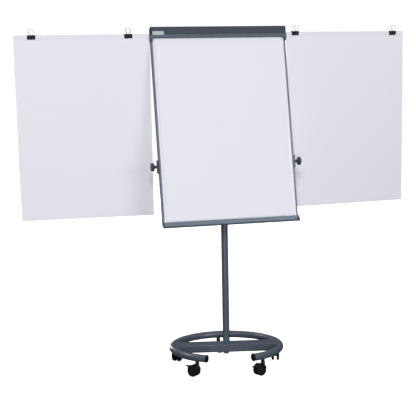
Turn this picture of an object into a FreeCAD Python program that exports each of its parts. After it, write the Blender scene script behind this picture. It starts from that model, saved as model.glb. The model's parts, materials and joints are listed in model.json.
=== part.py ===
import FreeCAD, Part
import math
import os
import Sketcher

# Flipchart easel on a round roller base.  Millimetres, Z up, front towards -Y.
# The origin is on the floor under the post.  Every named size lives in the sheet.

os.makedirs("parts", exist_ok=True)
doc = FreeCAD.newDocument("flipchart_easel")
sheet = doc.addObject("Spreadsheet::Sheet", "sizes")
Vec = FreeCAD.Vector
Turn = FreeCAD.Rotation
Place = FreeCAD.Placement
ALONG = {"x": Turn(Vec(0, 1, 0), 90), "y": Turn(Vec(1, 0, 0), -90), "z": Turn()}
exports = []
rows = []


class Dim:
    """A number together with its formula over the sheet's named cells."""

    def __init__(self, value, text):
        self.value = value
        self.text = text

    def __add__(self, other):
        return join(self, other, "+", self.value + number(other))

    def __radd__(self, other):
        return join(other, self, "+", number(other) + self.value)

    def __sub__(self, other):
        return join(self, other, "-", self.value - number(other))

    def __rsub__(self, other):
        return join(other, self, "-", number(other) - self.value)

    def __mul__(self, other):
        return join(self, other, "*", self.value * number(other))

    def __rmul__(self, other):
        return join(other, self, "*", number(other) * self.value)

    def __neg__(self):
        return join(0.0, self, "-", -self.value)


def number(item):
    """The plain value of a Dim or a number."""
    if isinstance(item, Dim):
        return item.value
    return float(item)


def words(item):
    """The formula of a Dim, or a number written out."""
    if isinstance(item, Dim):
        return item.text
    if item < 0:
        return "(%s)" % repr(float(item))
    return repr(float(item))


def join(left, right, sign, value):
    return Dim(value, "(%s %s %s)" % (words(left), sign, words(right)))


def size(name, value):
    """One named size: a row of the sheet."""
    rows.append(name)
    sheet.set("A%d" % len(rows), name)
    sheet.set("B%d" % len(rows), repr(value))
    sheet.setAlias("B%d" % len(rows), name)
    return Dim(float(value), "sizes.%s" % name)


def bind(item, prop, value):
    """Tie one property to its formula, or set a plain number."""
    if isinstance(value, Dim):
        item.setExpression(prop, value.text)
    else:
        item.setExpression(prop, words(value))


def put(item, x, y, z):
    """Tie the three coordinates of an object's place."""
    bind(item, "Placement.Base.x", x)
    bind(item, "Placement.Base.y", y)
    bind(item, "Placement.Base.z", z)
    return item


def box(name, x, y, z):
    """A block between two limits on each axis."""
    item = doc.addObject("Part::Box", name)
    bind(item, "Length", x[1] - x[0])
    bind(item, "Width", y[1] - y[0])
    bind(item, "Height", z[1] - z[0])
    return put(item, x[0], y[0], z[0])


def rod(name, along, radius, start, length):
    """A cylinder from its start point along one axis."""
    item = doc.addObject("Part::Cylinder", name)
    item.Placement = Place(Vec(0, 0, 0), ALONG[along])
    bind(item, "Radius", radius)
    bind(item, "Height", length)
    return put(item, *start)


def plane_of(body, role):
    return [item for item in body.Origin.OriginFeatures if item.Role == role][0]


def outline(body, name, role, points):
    """A closed outline on one of the body's own planes, every corner dimensioned."""
    drawing = body.newObject("Sketcher::SketchObject", name + "_outline")
    drawing.AttachmentSupport = (plane_of(body, role), [""])
    drawing.MapMode = "FlatFace"
    flat = [(number(p[0]), number(p[1])) for p in points]
    count = len(flat)
    for i in range(count):
        a = flat[i]
        b = flat[(i + 1) % count]
        drawing.addGeometry(Part.LineSegment(Vec(a[0], a[1], 0), Vec(b[0], b[1], 0)), False)
    for i in range(count):
        drawing.addConstraint(Sketcher.Constraint("Coincident", i, 2, (i + 1) % count, 1))
    for i in range(count):
        for kind, part, axis in (("DistanceX", 0, -2), ("DistanceY", 1, -1)):
            if abs(flat[i][part]) < 1e-9:
                drawing.addConstraint(Sketcher.Constraint("PointOnObject", i, 1, axis))
                continue
            rule = Sketcher.Constraint(kind, -1, 1, i, 1, flat[i][part])
            index = drawing.addConstraint(rule)
            bind(drawing, "Constraints[%d]" % index, points[i][part])
    return drawing


def prism(name, along, points, limits):
    """An outline pushed along one axis between two limits."""
    body = doc.addObject("PartDesign::Body", name)
    role = {"x": "YZ_Plane", "y": "XZ_Plane", "z": "XY_Plane"}[along]
    drawing = outline(body, name, role, points)
    start = -limits[1] if along == "y" else limits[0]
    bind(drawing, "AttachmentOffset.Base.z", start)
    pad = body.newObject("PartDesign::Pad", name + "_pad")
    pad.Profile = drawing
    bind(pad, "Length", limits[1] - limits[0])
    body.Tip = pad
    return body


def lathe(name, points):
    """An outline of (radius, height) turned once about Z."""
    body = doc.addObject("PartDesign::Body", name)
    drawing = outline(body, name, "XZ_Plane", points)
    turned = body.newObject("PartDesign::Revolution", name + "_turned")
    turned.Profile = drawing
    turned.ReferenceAxis = (drawing, ["V_Axis"])
    turned.Angle = 360.0
    body.Tip = turned
    return body


def fuse(name, items):
    item = doc.addObject("Part::MultiFuse", name)
    item.Shapes = items
    item.Refine = True
    return item


def rounded(name, base, along, radius):
    """A block with the edges that run along one axis rounded."""
    doc.recompute()
    item = doc.addObject("Part::Fillet", name)
    item.Base = base
    edges = []
    for index, edge in enumerate(base.Shape.Edges):
        span = edge.Vertexes[1].Point - edge.Vertexes[0].Point
        if abs(getattr(span, along)) > 0.5 * span.Length:
            edges.append((index + 1, number(radius), number(radius)))
    item.Edges = edges
    return item


def group(name, items):
    item = doc.addObject("Part::Compound", name)
    item.Links = items
    return item


def cut(name, base, tools):
    item = doc.addObject("Part::Cut", name)
    item.Base = base
    item.Tool = tools[0] if len(tools) == 1 else fuse(name + "_tools", tools)
    return item


def keep(name, item, place=None):
    """Give a finished piece its label and place, and list it for export."""
    item.Label = name
    if place is not None:
        if item.TypeId in ("Part::Box", "Part::Cylinder"):
            for axis in "xyz":
                item.setExpression("Placement.Base." + axis, None)
        item.Placement = place
    exports.append((name, item))
    return item


def at(x, y, z, axis=(0, 0, 1), angle=0.0):
    return Place(Vec(number(x), number(y), number(z)), Turn(Vec(*axis), number(angle)))


# ---------------------------------------------------------------- sizes

ring_radius = size("ring_radius", 281)
ring_tube = size("ring_tube_radius", 19)
ring_wall = size("ring_wall", 2)
ring_height = size("ring_height", 98)
ring_gap = size("ring_opening_half_angle", 25.3)
base_turn = size("base_turn", -13.1)
beam_half = size("beam_half_length", 268)
beam_depth = size("beam_half_depth", 43)
beam_low = size("beam_underside", 76)
beam_high = size("beam_top", 118)
beam_wall = size("beam_wall", 2.5)
beam_corner = size("beam_corner_radius", 6)
post_radius = size("post_radius", 18)
post_wall = size("post_wall", 2)
fit = size("running_fit", 0.05)
air = size("air_gap", 0.3)

stem_low = size("stem_lower_end", 43)
stem_high = size("stem_upper_end", 92)
collar_low = size("collar_underside", 72)
collar_radius = size("collar_radius", 10)
hub_top = size("housing_top", 71.6)
hub_radius = size("housing_hub_radius", 11)
trail = size("caster_trail", 21)
wheel_radius = size("wheel_radius", 28.5)
wheel_in = size("wheel_inner_face", 7.6)
wheel_out = size("wheel_outer_face", 20.6)
stem_radius = size("stem_radius", 4)
axle_radius = size("axle_radius", 3)
hood_in = size("hood_inner_radius", 29.3)
hood_out = size("hood_outer_radius", 31.8)
cheek = size("cheek_half_thickness", 6.5)
lever_along = size("lever_pivot_along", 29.6)
lever_up = size("lever_pivot_up", 20.8)
lever_reach = size("lever_tab_reach", 19)

board_y = size("board_top_y", 52.2)
board_z = size("board_top_z", 1763.8)
board_tilt = size("board_tilt", 10.64)
outer = size("board_half_width", 360)
inner = size("frame_inner_edge", 351)
frame_depth = size("frame_depth", 24)
frame_top_end = size("frame_upper_end", -3)
frame_low_end = size("frame_lower_end", -1010)
groove_deep = size("groove_depth", 3)
groove_half = size("groove_half_width", 6.75)
skin = size("frame_front_wall", 1.8)
panel_back = size("panel_back", 6)
panel_front = size("panel_front", 2)
stud_depth = size("stud_depth", 14)
stud_down = size("stud_down_board", 709)
stud_radius = size("stud_radius", 4)
stud_y = size("stud_axis_y", -64.9)
stud_z = size("stud_axis_z", 1064.4)
stud_end = size("stud_outer_end", 394)
pad_half = size("pad_half_width", 340)
pad_low = size("pad_lower_edge", -987)

yoke_half = size("yoke_half_width", 341)
yoke_deep = size("yoke_half_depth", 12.5)
yoke_tall = size("yoke_half_height", 25)
arm_plate = size("yoke_arm_thickness", 6)

hinge_y = size("clamp_hinge_depth", 14)
hinge_z = size("clamp_hinge_down", -9)
rod_radius = size("clamp_rod_radius", 2.5)
knuckle = size("clamp_knuckle_radius", 7.5)
bar_half = size("clamp_bar_half_length", 358.5)
bar_low = size("clamp_bar_lower_edge", -40)
lip_half = size("clamp_lip_half_length", 350.3)
corner_out = size("corner_overhang", 3.8)

pin_radius = size("arm_pin_radius", 4)
lug_radius = size("arm_knuckle_radius", 7)
arm_low = size("arm_knuckle_low", 1704)
arm_high = size("arm_knuckle_high", 1734)
lug_thick = size("lug_thickness", 6)
arm_reach = size("arm_reach", 690)
arm_tall = size("arm_bar_height", 18)
arm_thick = size("arm_bar_thickness", 4)
paper = size("sheet_thickness", 0.4)
paper_wide = size("sheet_width", 680)
paper_long = size("sheet_length", 928)
paper_head = size("sheet_flat_head", 32)

board_place = at(0, board_y, board_z, (1, 0, 0), -board_tilt)
base_place = at(0, 0, 0, (0, 0, 1), base_turn)

# ---------------------------------------------------------------- round base

tube_start = 270 + number(ring_gap)
sweep = 360 - 2 * ring_gap


def ring(name, radius):
    item = doc.addObject("Part::Torus", name)
    bind(item, "Radius1", ring_radius)
    bind(item, "Radius2", radius)
    bind(item, "Angle3", sweep)
    item.Placement = at(0, 0, 0, (0, 0, 1), tube_start)
    bind(item, "Placement.Base.z", ring_height)
    return item


def around(angle):
    """A point on the ring's centre line, the angle counted from the front."""
    turn = math.radians(angle)
    reach = number(ring_radius)
    return Vec(reach * math.sin(turn), -reach * math.cos(turn), 0)


# Each caster: its angle round the ring from the front, the way its wheels trail, and its brake.
casters = (("front_left", -36.0, (-0.64, 0.77), True), ("front_right", 37.0, (-0.936, -0.352), True),
           ("right", 108.0, (-0.30, -0.95), False), ("back", 185.0, (0.45, -0.89), False),
           ("left", -108.0, (0.66, 0.75), False))
ring_under = ring_height - ring_tube
stem_holes = []
stems = []
for tag, angle, way, braked in casters:
    spot = around(angle)
    hole = doc.addObject("Part::Cylinder", "stem_hole_" + tag)
    bind(hole, "Radius", stem_radius + 1)
    bind(hole, "Height", stem_high + 1 - collar_low)
    hole.Placement = at(spot.x, spot.y, collar_low)
    stem_holes.append(hole)
    profile = [(0, stem_low), (stem_radius, stem_low), (stem_radius, collar_low), (collar_radius, collar_low),
               (collar_radius, ring_under), (stem_radius + 1, ring_under), (stem_radius + 1, stem_high),
               (0, stem_high)]
    stem = lathe("stem_" + tag, profile)
    stem.Placement = at(spot.x, spot.y, 0)
    stems.append(stem)
hollow_ring = cut("ring_tube", ring("ring_skin", ring_tube), [ring("ring_bore", ring_tube - ring_wall)])
keep("base_ring", cut("ring_drilled", hollow_ring, stem_holes), base_place)
keep("caster_stems", group("stem_group", stems), base_place)

caps = []
for side in (-1, 1):
    plug = ring_tube - ring_wall - 0.6
    rim = ring_tube + 1.2
    profile = [(0, -10), (plug, -10), (plug, 0), (rim, 0), (rim, 4), (rim - 3, 7), (0, 7)]
    cap = lathe("ring_cap_%s" % ("left" if side < 0 else "right"), profile)
    spot = around(side * number(ring_gap))
    turn = math.radians(number(ring_gap))
    ahead = Vec(-side * math.cos(turn), -math.sin(turn), 0)
    cap.Placement = Place(Vec(spot.x, spot.y, number(ring_height)), Turn(Vec(0, 0, 1), ahead))
    caps.append(cap)
keep("ring_end_caps", group("ring_cap_group", caps), base_place)

beam = box("beam_block", (-beam_half, beam_half), (-beam_depth, beam_depth), (beam_low, beam_high))
beam_core = box("beam_core", (-beam_half - 5, beam_half + 5),
                (-beam_depth + beam_wall, beam_depth - beam_wall),
                (beam_low + beam_wall, beam_high - beam_wall))
bolt_radius = size("foot_bolt_radius", 5)
post_hole = rod("post_hole", "z", post_radius + fit, (0, 0, beam_high - 10), 20)
bolt_hole = rod("bolt_hole", "z", bolt_radius + fit, (0, 0, beam_low - 10), 20)
keep("base_crossbar", cut("beam_cut", rounded("beam_outside", beam, "x", beam_corner),
                          [rounded("beam_inside", beam_core, "x", beam_corner - beam_wall),
                           ring("ring_seat", ring_tube), post_hole, bolt_hole]), base_place)

post_foot = beam_low + beam_wall + air
foot_thick = size("post_foot_thickness", 6)
profile = [(bolt_radius, post_foot), (post_radius, post_foot), (post_radius, stud_z - yoke_tall),
           (post_radius - post_wall, stud_z - yoke_tall), (post_radius - post_wall, post_foot + foot_thick),
           (bolt_radius, post_foot + foot_thick)]
keep("post_tube", lathe("post", profile))
bolt_low = size("foot_bolt_underside", 61)
bolt_high = post_foot + foot_thick + 8
profile = [(0, bolt_low), (12, bolt_low), (15, bolt_low + 3), (15, beam_low - air),
           (bolt_radius, beam_low - air), (bolt_radius, bolt_high), (0, bolt_high)]
keep("foot_bolt", lathe("bolt", profile))

# ---------------------------------------------------------------- rollers


def caster_housing(name, braked):
    """Hub on the stem, cheek between the wheels and a hood over them; trail along +X."""
    hub = lathe(name + "_hub", [(0, 36), (hub_radius, 36), (hub_radius, hub_top - 4), (8.5, hub_top), (0, hub_top)])
    web = prism(name + "_web", "y",
                [(-8, 41), (-8, 59), (12, 59), (31, 43), (30, 21), (14, 20)], (-cheek, cheek))
    boss = rod(name + "_boss", "y", 7, (trail, -cheek, wheel_radius), 2 * cheek)
    shell = cut(name + "_shell", rod(name + "_shell_out", "y", hood_out, (trail, -19, wheel_radius), 38),
                [rod(name + "_shell_in", "y", hood_in, (trail, -20, wheel_radius), 40)])
    below = prism(name + "_below", "y", [(trail, wheel_radius), (trail + 54, wheel_radius + 25),
                                         (trail + 54, -40), (-60, -40), (-38, wheel_radius + 16)], (-22, 22))
    pieces = [hub, web, boss, cut(name + "_hood", shell, [below])]
    if braked:
        ear = [(19.7, 23.5), (28.0, 24.8), (32.9, 20.0), (31.4, 16.4), (27.5, 13.4)]
        for side in (-1, 1):
            limits = (7.4, 9.6) if side > 0 else (-9.6, -7.4)
            tag = name + ("_ear_b" if side > 0 else "_ear_a")
            pieces.append(prism(tag, "y", [(trail + x, wheel_radius + z) for x, z in ear], limits))
        pieces.append(rod(name + "_pin", "y", 1.5, (trail + lever_along, -9.6, wheel_radius + lever_up), 19.2))
    solid = fuse(name + "_solid", pieces)
    room = []
    for side in (-1, 1):
        low = 6.9 if side > 0 else -23
        tag = name + ("_room_b" if side > 0 else "_room_a")
        room.append(rod(tag, "y", wheel_radius + 0.7, (trail, low, wheel_radius), 16.1))
    room.append(rod(name + "_bore", "z", stem_radius + fit, (0, 0, stem_low - 1), 35))
    room.append(rod(name + "_axle_bore", "y", axle_radius + fit, (trail, -10, wheel_radius), 20))
    return cut(name + "_cut", solid, room)


def wheel(name, side):
    points = [(axle_radius, wheel_in), (wheel_radius - 1.5, wheel_in), (wheel_radius, wheel_in + 1.5),
              (wheel_radius, wheel_out - 2.4), (wheel_radius - 2, wheel_out - 0.5),
              (wheel_radius - 8, wheel_out), (wheel_radius - 9, wheel_out - 2),
              (8, wheel_out - 2), (7, wheel_out), (axle_radius, wheel_out)]
    item = lathe(name, points)
    item.Placement = Place(Vec(number(trail), 0, number(wheel_radius)), Turn(Vec(1, 0, 0), -90 * side))
    return item


for tag, angle, way, braked in casters:
    name = "caster_" + tag
    centre = base_place.multVec(around(angle))
    heading = math.degrees(math.atan2(way[1], way[0]))
    place = Place(centre, Turn(Vec(0, 0, 1), heading))
    keep(name + "_housing", caster_housing(name, braked), place)
    keep(name + "_axle", rod(name + "_pivot", "y", axle_radius, (0, 0, 0), 39),
         place.multiply(Place(Vec(number(trail), -19.5, number(wheel_radius)), ALONG["y"])))
    keep(name + "_wheels", group(name + "_pair", [wheel(name + "_wheel_a", 1), wheel(name + "_wheel_b", -1)]),
         place)
    if braked:
        pivot_x = trail + lever_along
        pivot_z = wheel_radius + lever_up
        lever_end = pivot_x + lever_reach
        blade = (pivot_z - 1.3, pivot_z + 1.3)
        grip = fuse(name + "_lever_solid", [
            rod(name + "_lever_eye", "y", 3.2, (pivot_x, -7, pivot_z), 14),
            box(name + "_lever_root", (pivot_x, pivot_x + 6.4), (-7, 7), blade),
            prism(name + "_lever_tab", "z", [(pivot_x + 5.4, -9), (lever_end - 3, -9), (lever_end, -6),
                                             (lever_end, 6), (lever_end - 3, 9), (pivot_x + 5.4, 9)], blade)])
        lever = cut(name + "_lever", grip, [rod(name + "_lever_bore", "y", 1.55, (pivot_x, -12, pivot_z), 24)])
        keep("brake_lever_" + tag, lever, place)

# ---------------------------------------------------------------- yoke on the post

yoke = cut("yoke_tube",
           box("yoke_block", (-yoke_half, yoke_half), (-yoke_deep, yoke_deep),
               (stud_z - yoke_tall, stud_z + yoke_tall)),
           [box("yoke_core", (-yoke_half - 5, yoke_half + 5), (-yoke_deep + 2.5, yoke_deep - 2.5),
                (stud_z - yoke_tall + 2.5, stud_z + yoke_tall - 2.5))])
keep("yoke_crossbar", yoke)
for side, tag in ((-1, "left"), (1, "right")):
    limits = (yoke_half, yoke_half + arm_plate) if side > 0 else (-yoke_half - arm_plate, -yoke_half)
    plate = prism("yoke_plate_" + tag, "x",
                  [(stud_y - 0.5, stud_z - 7), (stud_y + 14, stud_z - 8.5), (-yoke_deep, stud_z - yoke_tall),
                   (yoke_deep, stud_z - yoke_tall), (yoke_deep, stud_z + yoke_tall),
                   (-yoke_deep, stud_z + yoke_tall), (stud_y + 14, stud_z + 8.5), (stud_y - 0.5, stud_z + 7)],
                  limits)
    nose = rod("yoke_nose_" + tag, "x", 7, (limits[0], stud_y, stud_z), arm_plate)
    hole = rod("yoke_hole_" + tag, "x", stud_radius + fit, (limits[0] - 2, stud_y, stud_z), arm_plate + 4)
    keep("yoke_arm_" + tag, cut("yoke_arm_cut_" + tag, fuse("yoke_arm_solid_" + tag, [plate, nose]), [hole]))

for side, tag in ((-1, "left"), (1, "right")):
    # Hand knob: hub cone, fluted grip with bevelled rims, blind bore for the stud.
    turned = lathe("knob_" + tag, [(stud_radius + fit, 372), (7, 372), (9, 384.5), (18.5, 384.5), (21, 387),
                                   (21, 396.5), (18.5, 399.5), (9, 399.5), (8, 398.5), (0, 398.5),
                                   (0, stud_end + air), (stud_radius + fit, stud_end + air)])
    flutes = []
    for step in range(10):
        turn = math.radians(36 * step)
        flute = doc.addObject("Part::Cylinder", "flute_%s_%d" % (tag, step))
        bind(flute, "Radius", 4)
        bind(flute, "Height", 40)
        flute.Placement = at(23.6 * math.cos(turn), 23.6 * math.sin(turn), 375)
        flutes.append(flute)
    place = Place(Vec(0, number(stud_y), number(stud_z)), Turn(Vec(0, 1, 0), 90 * side))
    keep("side_knob_" + tag, cut("knob_cut_" + tag, turned, flutes), place)
    start = yoke_half + air if side > 0 else -stud_end
    stud = rod("stud_" + tag, "x", stud_radius, (start, stud_y, stud_z), stud_end - yoke_half - air)
    keep("knob_stud_" + tag, stud)
    low = outer - groove_deep + air
    block_shape = [(side * low, -stud_down - 34), (side * (outer + 6), -stud_down - 34),
                   (side * (outer + 9.5), -stud_down - 30), (side * (outer + 9.5), -stud_down + 30),
                   (side * (outer + 6), -stud_down + 34), (side * low, -stud_down + 34)]
    block = prism("block_" + tag, "y", block_shape, (stud_depth - groove_half + air, stud_depth + groove_half - air))
    first = low - 5 if side > 0 else -outer - 15
    bore = rod("block_bore_" + tag, "x", stud_radius + fit, (first, stud_depth, -stud_down), 30)
    keep("slide_block_" + tag, cut("block_cut_" + tag, block, [bore]), board_place)

# ---------------------------------------------------------------- board (local: z down from the top, y back)

for side, tag in ((-1, "left"), (1, "right")):
    # Extruded side rail: panel slot inside, T-shaped run for the slide block outside.
    step_in = outer - groove_deep
    corner = [(inner, 0), (outer, 0), (outer, stud_depth - groove_half), (step_in, stud_depth - groove_half),
              (step_in, stud_depth + groove_half), (outer, stud_depth + groove_half), (outer, frame_depth),
              (inner, frame_depth), (inner, panel_back + 0.2), (outer - 5, panel_back + 0.2),
              (outer - 5, skin), (inner, skin)]
    rail = prism("rail_" + tag, "z", [(side * x, y) for x, y in corner], (frame_low_end, frame_top_end))
    near = inner + 1.7
    far = outer - 4.7
    span = (near, far) if side > 0 else (-far, -near)
    chamber = box("rail_chamber_" + tag, span, (8, frame_depth - 1.6), (frame_low_end - 5, frame_top_end + 5))
    span = (inner - 2, outer + 2) if side > 0 else (-outer - 2, 2 - inner)
    slot = box("rail_slot_" + tag, span, (stud_depth - stud_radius - air, stud_depth + stud_radius + air),
               (-920, -400))
    hole = rod("rail_hole_" + tag, "x", rod_radius, (span[0], hinge_y, hinge_z), 20)
    keep("frame_" + tag, cut("rail_cut_" + tag, rail, [chamber, slot, hole]), board_place)

rail_back = panel_back + 0.3
peg_down = size("peg_down_board", -30)
peg_out = size("peg_half_spacing", 160)
for tag, top, low in (("top", -18.5, -46), ("bottom", -975, -1003)):
    tools = [box("cross_core_" + tag, (-inner - 5, inner + 5), (rail_back + 2, frame_depth - 2), (low + 2, top - 2))]
    if tag == "top":
        for side in (-1, 1):
            name = "cross_peg_slot_" + ("left" if side < 0 else "right")
            tools.append(box(name, (side * peg_out - 15, side * peg_out + 15), (rail_back - 2, rail_back + 3),
                             (peg_down - 4, peg_down + 4)))
    rail = box("cross_" + tag, (-inner, inner), (rail_back, frame_depth), (low, top))
    keep("frame_" + tag, cut("cross_cut_" + tag, rail, tools), board_place)

slots = []
for side in (-1, 1):
    name = "panel_peg_slot_" + ("left" if side < 0 else "right")
    slots.append(box(name, (side * peg_out - 15, side * peg_out + 15), (-5, 10), (peg_down - 4, peg_down + 4)))
panel = box("panel_block", (-outer + 5.3, outer - 5.3), (panel_front, panel_back), (-1005, -10))
keep("writing_panel", cut("panel_cut", panel, slots), board_place)
slots = []
for side in (-1, 1):
    name = "pad_slot_" + ("left" if side < 0 else "right")
    slots.append(box(name, (side * peg_out - 16, side * peg_out + 16), (-5, 5), (peg_down - 4.5, peg_down + 4.5)))
block = box("pad_block", (-pad_half, pad_half), (-2.2, panel_front), (pad_low, -14))
keep("paper_pad", cut("pad_cut", block, slots), board_place)

corners = []
for side, tag in ((-1, "left"), (1, "right")):
    span = (inner, outer + corner_out) if side > 0 else (-outer - corner_out, -inner)
    front = prism("corner_front_" + tag, "x", [(0, bar_low - 1), (-14, bar_low - 1), (-16.5, -57), (-6, -74),
                                               (0, -74)], span)
    span = (outer, outer + corner_out) if side > 0 else (-outer - corner_out, -outer)
    cheek = prism("corner_cheek_" + tag, "x", [(-8, bar_low - 1), (18, bar_low - 1), (frame_depth, bar_low - 7),
                                               (frame_depth, -68), (18, -74), (-8, -74)], span)
    corners.append(fuse("corner_" + tag, [front, cheek]))
keep("frame_corners", group("corner_group", corners), board_place)

keep("clamp_hinge_rod", rod("hinge_rod", "x", rod_radius, (0, 0, 0), 2 * outer - 2),
     board_place.multiply(Place(Vec(1 - number(outer), number(hinge_y), number(hinge_z)), ALONG["x"])))

springs = []
for side, tag in ((-1, "left"), (1, "right")):
    # Torsion spring: a close coil of round wire on the hinge rod, modelled as stacked turns.
    turns = []
    for step in range(7):
        coil = doc.addObject("Part::Torus", "coil_%s_%d" % (tag, step))
        coil.Radius1 = 4.6
        coil.Radius2 = 1.4
        coil.Placement = Place(Vec(side * 250 + (step - 3) * 2.7, number(hinge_y), number(hinge_z)), ALONG["x"])
        turns.append(coil)
    springs.append(fuse("spring_" + tag, turns))
keep("clamp_springs", group("spring_group", springs), board_place)

tray = prism("tray", "x", [(0, -991), (-2, -991), (-2, -1019), (-20, -1019), (-20, -1013), (-22, -1013),
                           (-22, -1021), (0, -1021)], (-outer, outer))
keep("pen_tray", tray, board_place)
ends = []
for side, tag in ((-1, "left"), (1, "right")):
    span = (outer, outer + 1.5) if side > 0 else (-outer - 1.5, -outer)
    ends.append(prism("tray_end_" + tag, "x", [(0, -990), (-4, -990), (-22.5, -1011.5), (-22.5, -1021.5),
                                               (0, -1021.5)], span))
keep("tray_end_caps", group("tray_end_group", ends), board_place)

# ---------------------------------------------------------------- clamp bar along the top

plate = prism("clamp_plate", "x", [(-16, bar_low), (-16, -4), (-13, 0), (hinge_y, 0), (hinge_y, -2), (-12, -2),
                                   (-14, -5), (-14, bar_low)], (-bar_half, bar_half))
tube = rod("clamp_tube", "x", knuckle, (-348, hinge_y, hinge_z), 696)
tools = [rod("clamp_bore", "x", rod_radius + fit, (-360, hinge_y, hinge_z), 720)]
for side, tag in ((-1, "left"), (1, "right")):
    span = (side * 250 - 15, side * 250 + 15)
    tools.append(box("clamp_notch_" + tag, span, (5, 25), (-20, -2.2)))
    span = (347.6, 362) if side > 0 else (-362, -347.6)
    tools.append(box("clamp_relief_" + tag, span, (7.5, 25), (-20, 3)))
keep("clamp_bar", cut("clamp_bar_cut", fuse("clamp_bar_solid", [plate, tube]), tools), board_place)
lip = prism("lip", "x", [(-14, -29), (-12, -29), (-12, bar_low), (-15.3, -55.8), (-2.6, -55.8), (-2.6, -57.5),
                         (-17.5, -57.5), (-17.5, -56), (-14, bar_low)], (-lip_half, lip_half))
keep("clamp_lip", lip, board_place)
ends = []
for side, tag in ((-1, "left"), (1, "right")):
    near = bar_half
    rim = [(side * near, bar_low), (side * (near + 1.5), bar_low), (side * (near + 3.5), -26),
           (side * (near + 3.5), -14), (side * (near + 1.5), 0), (side * near, 0)]
    ends.append(prism("clamp_end_" + tag, "y", rim, (-16, -1.5)))
keep("clamp_end_caps", group("clamp_end_group", ends), board_place)
keep("label_plate", box("label_block", (-353, -293), (0, 1), (0, 20)),
     board_place.multiply(Place(Vec(-353, -17, -43.5), Turn())))

for side, tag in ((-1, "left"), (1, "right")):
    # Sliding peg for the pad's punched holes: flanged pin and a square nut behind.
    x = side * peg_out
    peg = fuse("peg_solid_" + tag, [
        rod("peg_pin_" + tag, "y", 3.5, (x, -8.5, peg_down), 21.1),
        rod("peg_flange_" + tag, "y", 5, (x, -10.5, peg_down), 2),
        box("peg_nut_" + tag, (x - 7, x + 7), (rail_back + 2 + air, rail_back + 6.3), (peg_down - 7, peg_down + 7))])
    keep("peg_" + tag, peg, board_place)

# ---------------------------------------------------------------- side arms, sheets and clips

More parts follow.
